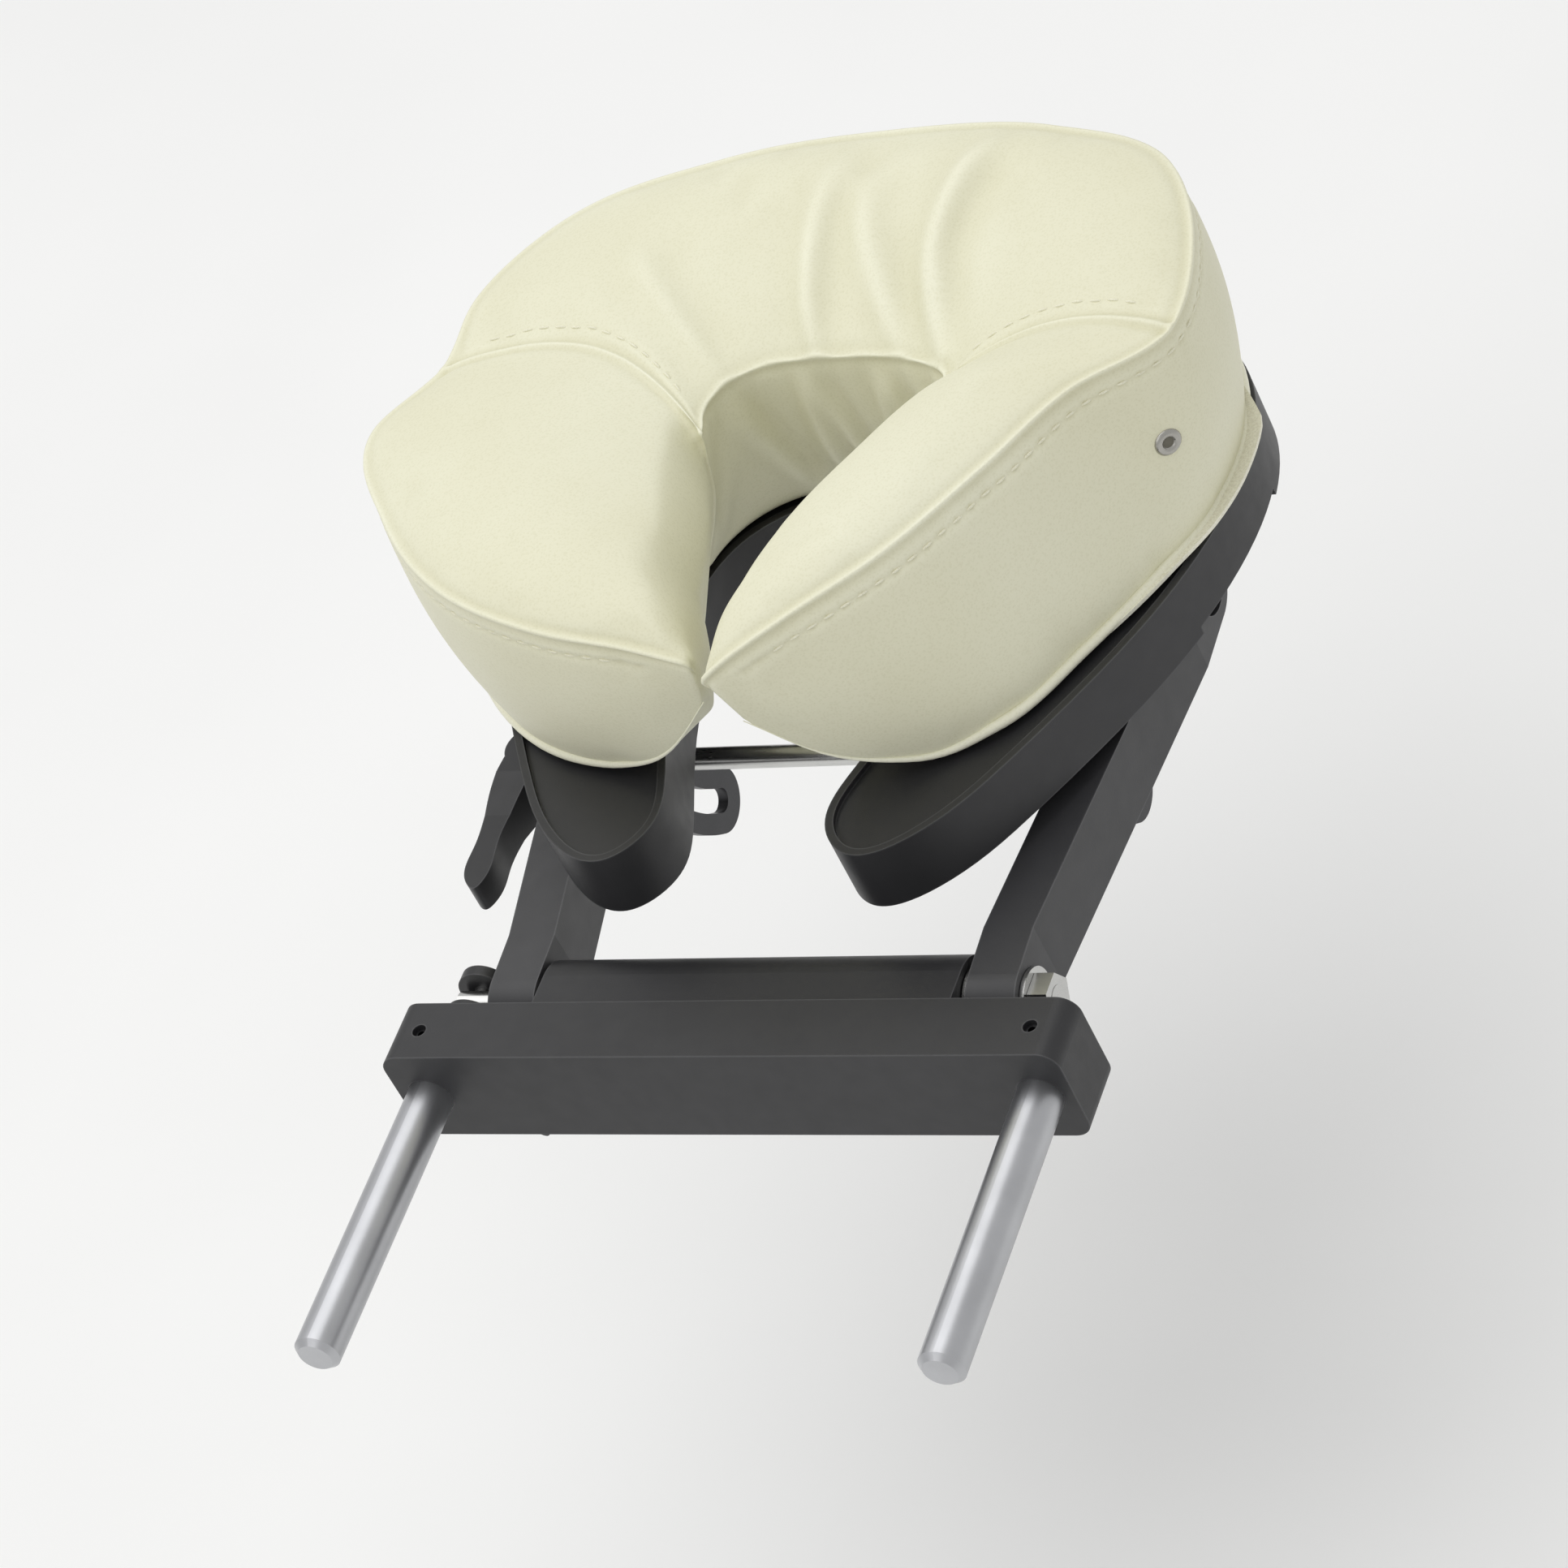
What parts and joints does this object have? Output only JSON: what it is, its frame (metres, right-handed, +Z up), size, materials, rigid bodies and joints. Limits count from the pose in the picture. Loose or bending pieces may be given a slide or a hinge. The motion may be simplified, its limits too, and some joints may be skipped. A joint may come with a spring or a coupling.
{
  "type": "face cradle cushion",
  "caption": "Horseshoe face cushion with a face opening, on a tilting platform with two arms and a peg-in base for a massage table.",
  "frame": {"origin": "centre of the crossbar's face that meets the end of the table", "axes": "+X to the user's right seen from the table, +Y away from the table, +Z up"},
  "size_m": [0.3028, 0.429, 0.1991],
  "materials": {
    "black_plastic": "fine moulded texture, satin",
    "arm_plastic": "fine moulded texture, slightly lighter than the platform",
    "lever_plastic": "fine moulded texture",
    "alloy": "turned, satin",
    "bright_steel": "zinc plated",
    "dark_steel": "black coated",
    "fibre": "pressed friction fibre",
    "pale_hook": "woven hook tape",
    "pale_loop": "brushed loop tape",
    "board": "raw plywood",
    "foam": "open-cell foam",
    "vinyl": "soft coated upholstery vinyl, cream, low sheen",
    "eyelet_metal": "nickel plated"
  },
  "bodies": {
    "base": {"base_crossbar": "black_plastic", "peg_left": "alloy", "peg_right": "alloy", "peg_screws": "dark_steel", "base_axle": "bright_steel", "base_axle_nut": "bright_steel", "base_washers": "bright_steel", "lower_cam_pad": "fibre", "lower_cam_pin": "bright_steel"},
    "lower_lever": {"lower_cam_lever": "lever_plastic"},
    "arms": {"arm_left": "arm_plastic", "arm_right": "arm_plastic", "pivot_bolt_left": "bright_steel", "pivot_bolt_right": "bright_steel", "pivot_nuts": "bright_steel", "pivot_spacers": "black_plastic", "clamp_rod": "bright_steel", "friction_discs": "fibre", "clamp_nuts": "bright_steel", "upper_cam_pad": "fibre", "upper_cam_pin": "bright_steel"},
    "upper_lever": {"upper_cam_lever": "lever_plastic"},
    "platform": {"platform_tray": "black_plastic", "quadrant_left": "dark_steel", "quadrant_right": "dark_steel", "quadrant_screws": "bright_steel", "hook_strips": "pale_hook"},
    "cushion": {"loop_strips": "pale_loop", "cushion_board": "board", "foam_core": "foam", "cover_bottom": "vinyl", "cover_top_left_lobe": "vinyl", "cover_top_right_lobe": "vinyl", "cover_top_crest": "vinyl", "boxing_inner": "vinyl", "boxing_left_lobe": "vinyl", "boxing_right_lobe": "vinyl", "boxing_crest": "vinyl", "bottom_welt": "vinyl", "vent_eyelets": "eyelet_metal"}
  },
  "joints": [
    {"name": "arm_tilt", "type": "hinge", "parent": "base", "child": "arms", "pos_m": [0, 0.04, 0], "axis": [1, 0, 0], "range_deg": [-45, 45]},
    {"name": "platform_tilt", "type": "hinge", "parent": "arms", "child": "platform", "pos_m": [0, 0.212, 0.012], "axis": [-1, 0, 0], "range_deg": [0, 45]},
    {"name": "cushion_lift", "type": "slide", "parent": "platform", "child": "cushion", "axis": [0, 0, 1], "range_m": [0, 0.08]},
    {"name": "lower_lever_open", "type": "hinge", "parent": "base", "child": "lower_lever", "pos_m": [-0.1112, 0.04, 0], "axis": [0, 1, 0], "range_deg": [0, 100]},
    {"name": "upper_lever_open", "type": "hinge", "parent": "arms", "child": "upper_lever", "pos_m": [-0.1242, 0.145, 0.00733], "axis": [0, 0, -1], "range_deg": [0, 100]}
  ]
}
